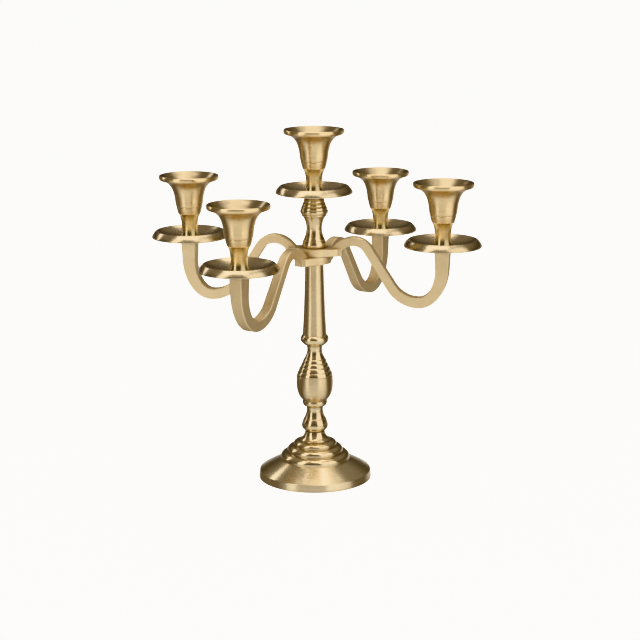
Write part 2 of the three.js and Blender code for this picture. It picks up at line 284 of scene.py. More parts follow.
def foot_runs():
    radii = [16.6, 23.4, 30.3, 37.7]        # of the rings, from the top down
    creases = [41, 35.2, 28.2, 20.4]        # heights of the creases under them
    lip = 1.7                               # height of the upright part of a ring
    runs = [
        [(57, 0), (61, 0)],
        [(61, 0), (61, 0.8), (60.1, 8.2)],
        [(60.1, 8.2), (59.2, 8.7)],
        [(59.2, 8.7), (54, 11.9), (49, 14.7), (43, 17.8), (37.8, 20.4)],
    ]
    for i in (3, 2, 1):
        top = (radii[i - 1], creases[i - 1])
        edge = (radii[i], creases[i] + lip)
        runs += [[(radii[i] - 0.1, creases[i]), edge], quarter_round(top, edge)[::-1]]
    runs += [
        [(16.3, 41), (16.6, 41.5), (16.5, 42.1)],
        [(16.5, 42.1), (14.3, 43.6), (12.4, 46.2), (11.2, 48.8), (10.6, 51)],
        [(10.6, 51), (SCREW_HOLE, 51)],
        [(SCREW_HOLE, 51), (SCREW_HOLE, 33)],
        [(SCREW_HOLE, 33), (11, 33)],
        [(11, 33), (20.2, 33.6), (27.2, 26.7), (34.6, 18.9), (46, 12), (56.4, 5.4)],
        [(56.4, 5.4), (57, 4.6), (57, 0)],
    ]
    return runs


def vase_runs():
    return [
        [(SCREW_HOLE, 51.3), (10.2, 51.3)],
        [(10.2, 51.3), (11.6, 52.2), (13.2, 53.8), (14.2, 56), (14.3, 58.2), (13.8, 60.8),
         (12.2, 64.9)],
        [(12.2, 64.9), (11.7, 65.3), (11.7, 65.9)],
        [(11.7, 65.9), (11.4, 66.2), (10.1, 69.3), (9.2, 72.4), (8.9, 75.2), (9.1, 77.2),
         (9.4, 78.4)],
        [(9.4, 78.4), (SCREW_HOLE, 78.4)],
        [(SCREW_HOLE, 78.4), (SCREW_HOLE, 51.3)],
    ]


def bulb_runs():
    cone = [(19.3, 113.5), (17.35, 118.3), (14.95, 123.2), (12.95, 127.5), (11.2, 131.8)]
    steps = [pillow(a, b, 0.42) for a, b in zip(cone, cone[1:])]
    return [
        [(SCREW_HOLE, 78.7), (9.8, 78.7)],
        [(9.8, 78.7), (11.6, 79.6), (13, 81.2), (13.5, 83.2), (13.3, 85)],
        [(13.3, 85), (12.9, 85.5)],
        [(12.9, 85.5), (14.5, 87.4), (16.7, 90.4), (18.4, 94.4), (19.4, 98.8), (19.8, 103.4),
         (19.8, 107.6), (19.5, 112.7)],
        [(19.5, 112.7), (19, 113), (19, 113.4), (19.3, 113.5)],
        *steps,
        [(11.2, 131.8), (10.5, 133.4), (9.2, 136.4), (8.4, 139.2), (8.1, 141.6), (8.3, 144.2),
         (8.7, 146)],
        [(8.7, 146), (SCREW_HOLE, 146)],
        [(SCREW_HOLE, 146), (SCREW_HOLE, 78.7)],
    ]


def column_runs():
    return [
        [(0, 175.5), (SCREW_HOLE, 175.5)],
        [(SCREW_HOLE, 175.5), (SCREW_HOLE, 146.3)],
        [(SCREW_HOLE, 146.3), (9.2, 146.3)],
        [(9.2, 146.3), (10.6, 147), (12.8, 148.7), (14.6, 150.9), (15.3, 153.4), (14.9, 155.6),
         (13.6, 157.6)],
        [(13.6, 157.6), (13, 158), (13, 158.5)],
        [(13, 158.5), (12.9, 159.3), (12.7, 162.5), (12.1, 173.5), (11.5, 184.8), (11.1, 196),
         (10.7, 207), (10.35, 218), (10.1, 228), (10, 236.3)],
        [(10, 236.3), (SCREW_HOLE, 236.3)],
        [(SCREW_HOLE, 236.3), (SCREW_HOLE, 210.5)],
        [(SCREW_HOLE, 210.5), (0, 210.5)],
    ]


def baluster_runs():
    cone = [(14, 293.6), (12.55, 297.5), (11.1, 301.4), (9.95, 305)]
    steps = [pillow(a, b, 0.4) for a, b in zip(cone, cone[1:])]
    return [
        [(0, 274.5), (SCREW_HOLE, 274.5)],
        [(SCREW_HOLE, 274.5), (SCREW_HOLE, 253.2)],
        [(SCREW_HOLE, 253.2), (12.1, 253.2)],
        [(12.1, 253.2), (12.6, 254.1), (12.85, 256), (12.5, 258.2), (11.75, 260.6)],
        [(11.75, 260.6), (11.35, 260.8), (11.3, 261.3)],
        [(11.3, 261.3), (11.1, 261.9), (9.9, 264.9), (9, 268), (8.4, 271.5), (8.3, 274), (8.6, 277),
         (9.3, 280.1), (10.4, 283.2), (11.9, 285.9)],
        pillow((11.9, 285.9), (13.3, 288.1), 0.35),
        [(13.3, 288.1), (13.2, 288.5)],
        [(13.2, 288.5), (14.1, 289.2), (14.8, 290.9), (14.8, 292.2), (14.2, 293.4), (14, 293.6)],
        *steps,
        [(9.95, 305), (9.6, 305.4), (9.75, 306.2), (9.8, 307.2)],
        [(9.8, 307.2), (CUP_SCREW_HOLE, 307.2)],
        [(CUP_SCREW_HOLE, 307.2), (CUP_SCREW_HOLE, 292.7)],
        [(CUP_SCREW_HOLE, 292.7), (0, 292.7)],
    ]


# ---------------------------------------------------------------- pans and cups

def pan_runs():
    return [
        [(CUP_SCREW_HOLE, 3.8), (CUP_SCREW_HOLE, 0)],
        [(CUP_SCREW_HOLE, 0), (13.6, 0)],
        [(13.6, 0), (14.4, 0.3), (22, 1.4), (30, 3.4), (33.5, 5.8), (35.6, 8.3)],
        [(35.6, 8.3), (37.8, 6.4), (39.2, 3.5)],
        [(39.2, 3.5), (40, 3.2), (40.7, 3.6), (40.8, 4.6), (40.4, 5.7)],
        [(40.4, 5.7), (39.3, 7.5), (38, 9.1), (36.6, 10.5)],
        [(36.6, 10.5), (36, 10.85), (35.3, 10.7)],
        [(35.3, 10.7), (31.2, 8.4), (25.5, 6.1), (19, 4.5), (13, 3.8)],
        [(13, 3.8), (CUP_SCREW_HOLE, 3.8)],
    ]


def cup_runs():
    return [
        [(0, 12.1), (CUP_SCREW_HOLE, 12.1)],
        [(CUP_SCREW_HOLE, 12.1), (CUP_SCREW_HOLE, 0)],
        [(CUP_SCREW_HOLE, 0), (10.4, 0)],
        [(10.4, 0), (10.35, 0.9), (9.6, 3), (8.9, 6), (8.65, 9), (8.75, 13.5), (9.2, 18), (10, 21.4),
         (10.9, 23.6), (11.5, 24.6)],
        [(11.5, 24.6), (12, 24.9)],
        [(12, 24.9), (12.7, 27.4), (13.4, 30), (13.8, 31.8)],
        [(13.8, 31.8), (13.6, 32.1), (13.9, 32.5)],
        [(13.9, 32.5), (14.5, 34.6), (15.1, 39), (15.5, 42.2), (16.1, 45.4), (17.1, 49), (18.4, 52.3),
         (20.2, 55.1), (22.4, 57.4), (25.2, 59.4), (27.9, 60.5)],
        [(27.9, 60.5), (29.7, 60.8), (31.2, 61.7), (31.9, 63.1), (32, 64.6), (31.7, 65.9),
         (31.1, 66.4)],
        [(31.1, 66.4), (30.4, 66.1)],
        [(30.4, 66.1), (28.6, 64.6), (25.9, 62), (22.4, 59.2), (18.9, 56.4), (15.6, 53.1), (13.1, 49.2),
         (11.7, 45.5), (11.25, 42.5)],
        [(11.25, 42.5), (11.25, 29.4)],
        [(11.25, 29.4), (0, 29.4)],
    ]


# ---------------------------------------------------------------- arm pairs

def arc(centre, radii, start, end):
    count = max(3, int(abs(end - start) * max(radii) / BAR_STEP) + 1)
    return [(centre[0] + radii[0] * math.cos(start + (end - start) * k / count),
             centre[1] + radii[1] * math.sin(start + (end - start) * k / count))
            for k in range(count + 1)]


def straight(start, end):
    count = max(1, int(math.dist(start, end) / BAR_STEP))
    return [(start[0] + (end[0] - start[0]) * k / count,
             start[1] + (end[1] - start[1]) * k / count) for k in range(count + 1)]


def arm_centreline(seat_rise):
    """Radius and height over the hub ring's middle, from inside the hub to the cup's seat."""
    inner = (HUMP_AT, HUMP_RISE - HUMP_INNER_BEND)
    outer = (HUMP_AT, HUMP_RISE - HUMP_OUTER_BEND)
    drop = (DROP_AT, DROP_BEND - DROP_DEPTH)
    across = (drop[0] - outer[0], drop[1] - outer[1])
    turn = math.acos((HUMP_OUTER_BEND + DROP_BEND) / math.hypot(*across))
    slope = math.pi / 2 - math.atan2(across[1], across[0]) - turn
    away = (math.sin(slope), math.cos(slope))
    run_start = [outer[k] + away[k] * HUMP_OUTER_BEND for k in (0, 1)]
    run_end = [drop[k] - away[k] * DROP_BEND for k in (0, 1)]
    hump_start = (inner[0] - HUMP_INNER_BEND * math.sin(ARM_ROOT_SLOPE),
                  inner[1] + HUMP_INNER_BEND * math.cos(ARM_ROOT_SLOPE))
    root_start = (hump_start[0] - ARM_ROOT_LENGTH * math.cos(ARM_ROOT_SLOPE),
                  hump_start[1] - ARM_ROOT_LENGTH * math.sin(ARM_ROOT_SLOPE))
    riser_height = RISER_RISE - DROP_DEPTH
    points = straight(root_start, hump_start)
    points += arc(inner, [HUMP_INNER_BEND] * 2, math.pi / 2 + ARM_ROOT_SLOPE, math.pi / 2)
    points += arc(outer, [HUMP_OUTER_BEND] * 2, math.pi / 2, math.pi / 2 - slope)
    points += straight(run_start, run_end)
    points += arc(drop, [DROP_BEND] * 2, 1.5 * math.pi - slope, 1.5 * math.pi)
    riser_radii = [ARM_REACH - DROP_AT, RISER_RISE]
    points += arc((DROP_AT, riser_height), riser_radii, 1.5 * math.pi, 2 * math.pi)
    points += straight((ARM_REACH, riser_height), (ARM_REACH, seat_rise))
    return even(np.array(points), BAR_STEP)


def bar_section(width, depth):
    """A rectangle with rounded edges: (across the arm, in the arm's plane)."""
    points = []
    for corner, (sx, sy) in enumerate([(1, 1), (-1, 1), (-1, -1), (1, -1)]):
        for k in range(4):
            angle = math.pi / 2 * (corner + k / 3)
            points.append((sx * (width / 2 - BAR_EDGE) + BAR_EDGE * math.cos(angle),
                           sy * (depth / 2 - BAR_EDGE) + BAR_EDGE * math.sin(angle)))
    return points


def bar_mesh(seat_rise):
    line = arm_centreline(seat_rise)
    heading = np.gradient(line, axis=0)
    heading /= np.linalg.norm(heading, axis=1)[:, None]
    vertices, sections = [], len(line)
    for i, ((radius, height), (out, up)) in enumerate(zip(line, heading)):
        along = i / (sections - 1)
        depth = BAR_DEPTH[0] + (BAR_DEPTH[1] - BAR_DEPTH[0]) * along ** 3
        width = BAR_WIDTH[0] + (BAR_WIDTH[1] - BAR_WIDTH[0]) * along ** 1.5
        for across, inward in bar_section(width, depth):
            vertices.append(Vector((radius - up * inward, -across, height + out * inward)) * MM)
    count = len(bar_section(1, 1))
    faces = [list(range(count))[::-1], list(range((sections - 1) * count, sections * count))]
    for i in range(sections - 1):
        for k in range(count):
            a, b = i * count + k, i * count + (k + 1) % count
            faces.append([a, b, b + count, a + count])
    mesh = bpy.data.meshes.new("bar")
    mesh.from_pydata(vertices, [], faces)
    return mesh


def slab_mesh(outline, height, bevel):
    """An upright prism with chamfered top and bottom edges. The outline runs anticlockwise."""
    centre = np.mean(outline, axis=0)
    levels = [(-height / 2, 1), (-height / 2 + bevel, 0), (height / 2 - bevel, 0), (height / 2, 1)]
    vertices = []
    for z, shrink in levels:
        for x, y in outline:
            away = np.array((x, y)) - centre
            inner = away * (1 - shrink * bevel / np.linalg.norm(away))
            vertices.append(((centre[0] + inner[0]) * MM, (centre[1] + inner[1]) * MM, z * MM))
    count = len(outline)
    faces = [list(range(count))[::-1], list(range(3 * count, 4 * count))]
    for level in range(3):
        for k in range(count):
            a, b = level * count + k, level * count + (k + 1) % count
            faces.append([a, b, b + count, a + count])
    mesh = bpy.data.meshes.new("slab")
    mesh.from_pydata(vertices, [], faces)
    return mesh


def joined(name, parts, cuts):
    """One closed mesh of the parts, with the cuts taken out."""
    base = new_object(name, parts[0])
    helpers = [(new_object("part", m), "UNION") for m in parts[1:]]
    helpers += [(new_object("cut", m), "DIFFERENCE") for m in cuts]
    for other, operation in helpers:
        modifier = base.modifiers.new(operation, "BOOLEAN")
        modifier.object = other
        modifier.operation = operation
        modifier.solver = "EXACT"
    graph = bpy.context.evaluated_depsgraph_get()
    mesh = bpy.data.meshes.new_from_object(base.evaluated_get(graph))
    for o in [base] + [other for other, _ in helpers]:
        bpy.data.objects.remove(o)
    mesh.name = name
    return mesh


def moved(mesh, matrix):
    copy = mesh.copy()
    copy.transform(matrix)
    return copy


def cylinder(name, radius, low, high, sides):
    return turned_mesh(name, [[(0, low), (radius, low)], [(radius, low), (radius, high)],
                              [(radius, high), (0, high)]], sides)


def four_quarters(quarter):
    """A whole outline from the quarter with positive coordinates."""
    return (quarter + [(-x, y) for x, y in quarter[::-1]]
            + [(-x, -y) for x, y in quarter] + [(x, -y) for x, y in quarter[::-1]])


def arm_pair_mesh(seat_rise):
    """Both arms and their hub ring, round the middle of the ring."""
    ring = cylinder("ring", RING_RADIUS, -RING_HEIGHT / 2, RING_HEIGHT / 2, RING_SIDES)
    ears = slab_mesh(four_quarters(EAR_OUTLINE), RING_HEIGHT, SLAB_BEVEL)
    length, width, height = ROOT_BLOCK
    corner = [(length / 2, width / 2 - ROOT_CORNER), (length / 2 - ROOT_CORNER, width / 2)]
    block = slab_mesh(four_quarters(corner), height, SLAB_BEVEL)
    bar = bar_mesh(seat_rise)
    bore = cylinder("bore", SCREW_HOLE, -HUB_BORE_REACH, HUB_BORE_REACH, HUB_BORE_SIDES)
    seat_hole = cylinder("seat_hole", CUP_SCREW_HOLE, seat_rise - SEAT_HOLE_DEPTH,
                         seat_rise + SEAT_CUTTER_REACH, SEAT_HOLE_SIDES)
    seat_hole.transform(Matrix.Translation((ARM_REACH * MM, 0, 0)))
    half_turn = Matrix.Rotation(math.pi, 4, "Z")
    mesh = joined("arm_pair", [ring, ears, block, bar, moved(bar, half_turn)],
                  [bore, seat_hole, moved(seat_hole, half_turn)])
    smooth_by_angle(mesh, ARM_SMOOTH_DEGREES)
    return mesh


# ---------------------------------------------------------------- screws

def thread_mesh(name, radius, length, pitch):
    """A plain-ended threaded rod standing on the origin: the radius follows a helix."""
    rings, sides = int(length / pitch * THREAD_STEPS) + 1, THREAD_SIDES
    vertices, faces = [], []
    for i in range(rings):
        z = length * i / (rings - 1)
        run_in = min(1, min(z, length - z) / pitch)
        for k in range(sides):
            phase = (z / pitch - k / sides) % 1
            crest = min(1, max(0, 0.5 + 2.5 * (0.3 - abs(phase - 0.5))))    # flat top and root
            r = radius - THREAD_DEPTH * pitch * (1 - crest * run_in)
            angle = 2 * math.pi * k / sides
            vertices.append((r * math.cos(angle) * MM, r * math.sin(angle) * MM, z * MM))
    for i in range(rings - 1):
        for k in range(sides):
            a, b = i * sides + k, i * sides + (k + 1) % sides
            faces.append([a, b, b + sides, a + sides])
    faces += [list(range(sides))[::-1], list(range((rings - 1) * sides, rings * sides))]
    mesh = bpy.data.meshes.new(name)
    mesh.from_pydata(vertices, [], faces)
    smooth_by_angle(mesh, THREAD_SMOOTH_DEGREES)
    return mesh


# ---------------------------------------------------------------- materials

BRASS = (0.83, 0.67, 0.41)
AGED_BRASS = (0.68, 0.515, 0.285)       # where handling and lacquer have browned it
CREASE_SHADE_AND_TARNISH = (0.26, 0.18, 0.095)      # painted shade, with some tarnish, along creases and scribed lines
ZINC = (0.60, 0.60, 0.585)
DULL_ZINC = (0.47, 0.465, 0.44)

NOISE_SPAN = (0.3, 0.7)                 # the values that a noise texture mostly keeps to
PATCH_SPAN = (0.35, 0.7)                # the part of a cloudy noise that shows as patches
LATHE_LINES = 1 / 0.0006                # strong lathe lines in a metre of outline
CREASE_SAMPLES = 6
LACQUER = {"Coat Weight": 0.35, "Coat Roughness": 0.12}


class Nodes:
    """A node tree, written as nested calls. A number, a colour or an output can be an input."""

    def __init__(self, tree):
        self.tree = tree

    def plug(self, value, socket):
        if isinstance(value, bpy.types.NodeSocket):
            self.tree.links.new(value, socket)
        else:
            socket.default_value = value

    def add(self, kind, output=0, settings=(), **inputs):
        node = self.tree.nodes.new(kind)
        for key, value in dict(settings).items():
            setattr(node, key, value)
        for key, value in inputs.items():
            self.plug(value, node.inputs[key])
        return node.outputs[output]

    def split(self, vector):
        node = self.tree.nodes.new("ShaderNodeSeparateXYZ")
        self.plug(vector, node.inputs["Vector"])
        return node.outputs

    def maths(self, operation, *values):
        node = self.tree.nodes.new("ShaderNodeMath")
        node.operation = operation
        for socket, value in zip(node.inputs, values):
            self.plug(value, socket)
        return node.outputs["Value"]

    def dot(self, *vectors):
        node = self.tree.nodes.new("ShaderNodeVectorMath")
        node.operation = "DOT_PRODUCT"
        for socket, vector in zip(node.inputs, vectors):
            self.plug(vector, socket)
        return node.outputs["Value"]

    def remap(self, value, span, target):
        return self.add("ShaderNodeMapRange", Value=value, **{
            "From Min": span[0], "From Max": span[1], "To Min": target[0], "To Max": target[1]})

    def mix(self, share, first, second):
        node = self.tree.nodes.new("ShaderNodeMix")
        node.data_type = "RGBA"
        self.plug(share, node.inputs["Factor"])
        for name, value in (("A", first), ("B", second)):
            socket = [i for i in node.inputs if i.name == name and i.type == "RGBA"][0]
            self.plug((*value, 1) if isinstance(value, tuple) else value, socket)
        return [o for o in node.outputs if o.type == "RGBA"][0]

    def noise(self, vector, scale, detail, roughness):
        return self.add("ShaderNodeTexNoise", output="Fac", Vector=vector, Scale=scale, Detail=detail,
                        Roughness=roughness)

    def creases(self, reach, span):
        """1 in the bottom of a crease, 0 on the open surface, by ambient occlusion: the mask of the
        painted crease shade.
        """
        openness = self.add("ShaderNodeAmbientOcclusion", output="AO",
                            settings={"samples": CREASE_SAMPLES}, Distance=reach)
        return self.remap(openness, span, (1.0, 0.0))

    def bump(self, depth, height, **more):
        return self.add("ShaderNodeBump", Strength=1.0, Distance=depth, Height=height, **more)


class Surface(Nodes):
    """A new material's nodes. Its textures sit in the object's own coordinates."""

    def __init__(self, name):
        self.material = bpy.data.materials.new(name)
        self.material.use_nodes = True
        super().__init__(self.material.node_tree)
        self.place = self.add("ShaderNodeTexCoord", output="Object")

    def finish(self, inputs):
        shader = self.tree.nodes["Principled BSDF"]
        for key, value in inputs.items():
            self.plug(value, shader.inputs[key])
        return self.material


def tinted(colour, tone):
    return tuple(c * t for c, t in zip(colour, tone))


def turned_brass(name, roughness, anisotropy, line_depth, aged, tone=(1, 1, 1)):
    """Lathe-turned brass: fine rings and a brushed sheen, under lacquer that browns with age, with
    painted shade and some tarnish in its creases.
    """
    n = Surface(name)
    x, y, z = n.split(n.place)
    radius = n.maths("SQRT", n.maths("ADD", n.maths("MULTIPLY", x, x), n.maths("MULTIPLY", y, y)))
    outline = n.add("ShaderNodeCombineXYZ", X=radius, Y=z)
    fine = n.noise(outline, LATHE_LINES, detail=3.0, roughness=0.65)
    broad = n.noise(outline, 0.2 * LATHE_LINES, detail=2.0, roughness=0.5)
    lines = n.maths("ADD", n.maths("MULTIPLY", fine, 0.6), n.maths("MULTIPLY", broad, 0.4))
    cloud = n.noise(n.place, 55.0, detail=4.0, roughness=0.6)
    crease = n.creases(reach=0.0035, span=(0.55, 0.95))
    patch = n.remap(cloud, PATCH_SPAN, (0.0, aged))
    streak = n.remap(lines, (0.35, 0.65), (0.0, 0.35 * aged))
    colour = n.mix(n.maths("ADD", patch, streak), tinted(BRASS, tone), tinted(AGED_BRASS, tone))
    # Painted shade, with some tarnish: creases darkened towards brown by ambient occlusion.
    colour = n.mix(n.maths("MULTIPLY", crease, 0.5), colour, CREASE_SHADE_AND_TARNISH)
    rough = n.remap(lines, NOISE_SPAN, (0.85 * roughness, 1.15 * roughness))
    rough = n.maths("ADD", rough, n.remap(cloud, NOISE_SPAN, (-0.02, 0.03)))
    rough = n.maths("ADD", rough, n.maths("MULTIPLY", crease, 0.15))
    tangent = n.add("ShaderNodeTangent", settings={"direction_type": "RADIAL", "axis": "Z"})
    return n.finish({"Base Color": colour, "Metallic": 1.0, "Roughness": rough,
                     "Anisotropic": anisotropy, "Anisotropic Rotation": 0.25,
                     "Normal": n.bump(line_depth, lines), "Tangent": tangent, **LACQUER})


def cast_brass(name, roughness, grain_depth, aged, tone=(1, 1, 1)):
    """Sand-cast brass, ground and brushed by hand: fine grain, soft waves, worn lighter edges, painted
    shade and some tarnish in creases.
    """
    n = Surface(name)
    grain = n.noise(n.place, 2200.0, detail=3.0, roughness=0.6)
    waves = n.noise(n.place, 90.0, detail=2.0, roughness=0.5)
    cloud = n.noise(n.place, 40.0, detail=5.0, roughness=0.65)
    crease = n.creases(reach=0.006, span=(0.45, 0.95))
    pointed = n.add("ShaderNodeNewGeometry", output="Pointiness")
    worn = n.remap(pointed, (0.52, 0.6), (0.0, 0.45))
    bright, browned = tinted(BRASS, tone), tinted(AGED_BRASS, tone)
    colour = n.mix(n.remap(cloud, PATCH_SPAN, (0.0, aged)), bright, browned)
    # Painted shade, with some tarnish: creases darkened towards brown by ambient occlusion.
    colour = n.mix(n.maths("MULTIPLY", crease, 0.6), colour, CREASE_SHADE_AND_TARNISH)
    colour = n.mix(worn, colour, bright)
    rough = n.remap(grain, NOISE_SPAN, (0.9 * roughness, 1.1 * roughness))
    rough = n.maths("ADD", rough, n.remap(cloud, NOISE_SPAN, (-0.03, 0.04)))
    rough = n.maths("SUBTRACT", rough, n.maths("MULTIPLY", worn, 0.12))
    soft_waves = n.bump(0.0005, waves)
    return n.finish({"Base Color": colour, "Metallic": 1.0, "Roughness": rough,
                     "Normal": n.bump(grain_depth, grain, Normal=soft_waves)})


def zinc_steel(name):
    """Bright zinc plate on steel, a little dull and spotted."""
    n = Surface(name)
    spots = n.noise(n.place, 900.0, detail=4.0, roughness=0.6)
    cloud = n.noise(n.place, 120.0, detail=3.0, roughness=0.55)
    return n.finish({"Base Color": n.mix(n.remap(cloud, NOISE_SPAN, (0.0, 1.0)), ZINC, DULL_ZINC),
                     "Metallic": 1.0, "Roughness": n.remap(spots, NOISE_SPAN, (0.26, 0.42)),
                     "Normal": n.bump(0.00002, spots)})


def white_paper(name, glow):
    """Seamless white paper that glows a little, so that it stays white to its edges."""
    n = Surface(name)
    fibre = n.noise(n.place, 400.0, detail=3.0, roughness=0.6)
    pale, white = (0.86, 0.86, 0.86), (0.9, 0.9, 0.9)
    return n.finish({"Base Color": n.mix(n.remap(fibre, NOISE_SPAN, (0.0, 1.0)), pale, white),
                     "Roughness": 0.9, "Specular IOR Level": 0.1,
                     "Emission Color": (1, 1, 1, 1), "Emission Strength": glow})


# Roughness, anisotropy, depth of the lathe lines in metres, share of aged patches.
satin = turned_brass("satin_turned_brass", 0.29, 0.85, 0.000003, 0.45)
polished = turned_brass("polished_turned_brass", 0.18, 0.6, 0.000001, 0.35)
# The skirt's copy is lighter and paler than the satin brass: painted light on the upward-facing skirt.
lightened_skirt = turned_brass("foot_skirt_brass_painted_light", 0.26, 0.85, 0.000003, 0.3, tone=(1.1, 1.13, 1.18))
bell = turned_brass("cup_bell_brass", 0.29, 0.85, 0.000003, 0.45, tone=(1.1, 1.06, 0.98))
# The cup neck's copy is darker: painted shade under the bell.
shaded_neck = turned_brass("cup_neck_brass_painted_shade", 0.2, 0.6, 0.000001, 0.5, tone=(0.7, 0.72, 0.7))
dish = turned_brass("pressed_pan_brass", 0.26, 0.7, 0.0000007, 0.4, tone=(0.86, 0.87, 0.9))
# The inside of the cup's mouth: rougher and more browned, and darker as painted shade.
dull_shaded_bore = turned_brass("dull_bore_brass_painted_shade", 0.34, 0.75, 0.0000015, 0.7, tone=(0.68, 0.68, 0.68))
# Roughness, depth of the grain in metres, share of aged patches.
cast = cast_brass("cast_satin_brass", 0.54, 0.00003, 0.3, tone=(1.15, 1.16, 1.18))
rough_cast = cast_brass("rough_cast_brass", 0.6, 0.00012, 0.9)
steel = zinc_steel("zinc_plated_steel")


# ---------------------------------------------------------------- where each finish goes

SKIRT_TOP = 20.4
BULB_SATIN_FROM, BULB_SATIN_TO = 85.3, 113.2
COLUMN_SATIN_FROM = 158.4
CUP_NECK_TOP = 24.8
SOCKET_FLOOR = 20               # lower than the socket's real floor, higher than the screw hole
MOUTH_EDGE = 55                 # above this the inside takes the dull, shaded bore finish only where it faces up


def finish_zones(mesh, materials, zone):
    """Gives each face the material that zone(height in millimetres, out, up) picks by its index."""
    for material in materials:
        mesh.materials.append(material)
    for face in mesh.polygons:
        middle = face.center
        radius = math.hypot(middle.x, middle.y) or 1
        out = (face.normal.x * middle.x + face.normal.y * middle.y) / radius
        face.material_index = zone(middle.z / MM, out, face.normal.z)
    return mesh


def foot_zone(height, out, up):
    inside = up < -0.3 or out < -0.5
    if inside:
        return 2
    return 0 if height < SKIRT_TOP else 1


def bulb_zone(height, out, up):
    return 0 if BULB_SATIN_FROM < height < BULB_SATIN_TO else 1


def column_zone(height, out, up):
    return 0 if height > COLUMN_SATIN_FROM else 1


def cup_zone(height, out, up):
    inside = out < 0 and height > SOCKET_FLOOR and (up > 0.25 or height < MOUTH_EDGE)
    if inside:
        return 2
    return 0 if height > CUP_NECK_TOP else 1


def one_zone(height, out, up):
    return 0


# ---------------------------------------------------------------- build

# Piece, outline, sides, CAD node, body, slot, finishes, zones.
stem = [
    ("foot_casting", foot_runs, FOOT_SIDES, "foot", "stand", "satin_brass",
     (lightened_skirt, polished, rough_cast), foot_zone),
    ("turned_vase", vase_runs, STEM_SIDES, "stem_vase", "stand", "polished_brass",
     (polished,), one_zone),
    ("turned_bulb", bulb_runs, STEM_SIDES, "stem_bulb", "stand", "satin_brass",
     (satin, polished), bulb_zone),
    ("turned_column", column_runs, STEM_SIDES, "stem_column", "stand", "satin_brass",
     (satin, polished), column_zone),
    ("turned_baluster", baluster_runs, STEM_SIDES, "upper_baluster", "baluster", "polished_brass",
     (polished,), one_zone),
]
for name, runs, sides, node, body, slot, materials, zone in stem:
    mesh = finish_zones(turned_mesh(name, runs(), sides), materials, zone)
    place_piece(new_object(name, mesh), body, node)

pan_mesh = turned_mesh("drip_pan", pan_runs(), PAN_SIDES)
pan_mesh.materials.append(dish)
cup_mesh = turned_mesh("candle_cup", cup_runs(), CUP_SIDES)
finish_zones(cup_mesh, (bell, shaded_neck, dull_shaded_bore), cup_zone)
cup_screw_mesh = thread_mesh("cup_screw", radius=3, length=28, pitch=1)
cup_screw_mesh.materials.append(steel)
holders = {"centre": "baluster", "right": "upper_arms", "left": "upper_arms", "back": "lower_arms",
           "front": "lower_arms"}
for place, holder in holders.items():
    for piece, mesh, body, node, slot in (
            ("drip_pan", pan_mesh, holder, "pan", "pan_brass"),
            ("candle_cup", cup_mesh, f"light_{place}", "cup", "satin_brass"),
            ("cup_screw", cup_screw_mesh, f"screw_{place}", "cup_stud", "steel")):
        node = f"{node}_{place}"
        place_piece(new_object(f"{piece}_{place}", mesh, spot(node)), body, node)

pivots = {j["child"]: j["pos_m"] for j in frame["joints"] if j["type"] == "hinge"}
for pair, body, place in (("lower", "lower_arms", "back"), ("upper", "upper_arms", "right")):
    hub = Vector(pivots[body])
    end = spot(f"pan_{place}")
    mesh = arm_pair_mesh((end.z - hub.z) / MM - GAP)
    mesh.materials.append(cast)
    piece = new_object(f"{pair}_arms_casting", mesh, hub, math.atan2(end.y, end.x))
    place_piece(even_shading(piece), body, f"{pair}_arm_pair")

for name, length, node, body in (("tie_rod_thread", 152, "tie_rod", "stand"),
                                 ("clamp_stud_thread", 61, "clamp_stud", "clamp_screw")):
    mesh = thread_mesh(name, radius=4, length=length, pitch=1.25)
    mesh.materials.append(steel)
    place_piece(new_object(name, mesh, spot(node)), body, node)
for node in ("tie_washer", "tie_nut"):
    shown = frame["nodes"][node]
    shown.data.materials.clear()
    shown.data.materials.append(steel)


# ---------------------------------------------------------------- camera and floor

CAMERA_AZIMUTH = math.radians(12.9)     # from straight in front towards the right
CAMERA_PITCH = 0.229                    # radians downwards
CAMERA_ROLL = math.radians(-0.23)
CAMERA_DISTANCE = 1.7216                # from the stem's axis
CAMERA_HEIGHT = 0.5757
CAMERA_LENS = 93.06                     # millimetres on a sensor 36 mm wide
CAMERA_SHIFT = (0.0085, -0.0010)
FLOOR_REACH = 30
PAPER_GLOW = 2.1

camera_data = bpy.data.cameras.new("camera")
camera_data.sensor_width = 36
camera_data.lens = CAMERA_LENS
camera_data.shift_x, camera_data.shift_y = CAMERA_SHIFT
camera_data.clip_start = 0.05
camera_data.clip_end = 100
camera = bpy.data.objects.new("camera", camera_data)
bpy.context.scene.collection.objects.link(camera)
camera.location = (CAMERA_DISTANCE * math.sin(CAMERA_AZIMUTH),
                   -CAMERA_DISTANCE * math.cos(CAMERA_AZIMUTH), CAMERA_HEIGHT)
camera.rotation_euler = (Matrix.Rotation(CAMERA_AZIMUTH, 3, "Z")
                         @ Matrix.Rotation(math.pi / 2 - CAMERA_PITCH, 3, "X")
                         @ Matrix.Rotation(CAMERA_ROLL, 3, "Z")).to_euler()
bpy.context.scene.camera = camera

floor_mesh = bpy.data.meshes.new("floor")
floor_corners = [(x * FLOOR_REACH, y * FLOOR_REACH, 0) for x, y in ((-1, -1), (1, -1), (1, 1), (-1, 1))]
floor_mesh.from_pydata(floor_corners, [], [[0, 1, 2, 3]])
floor_mesh.materials.append(white_paper("white_paper", PAPER_GLOW))
floor = new_object("floor", floor_mesh)
floor.visible_glossy = False            # the metal sees the world's table instead


# ---------------------------------------------------------------- the room in the reflections

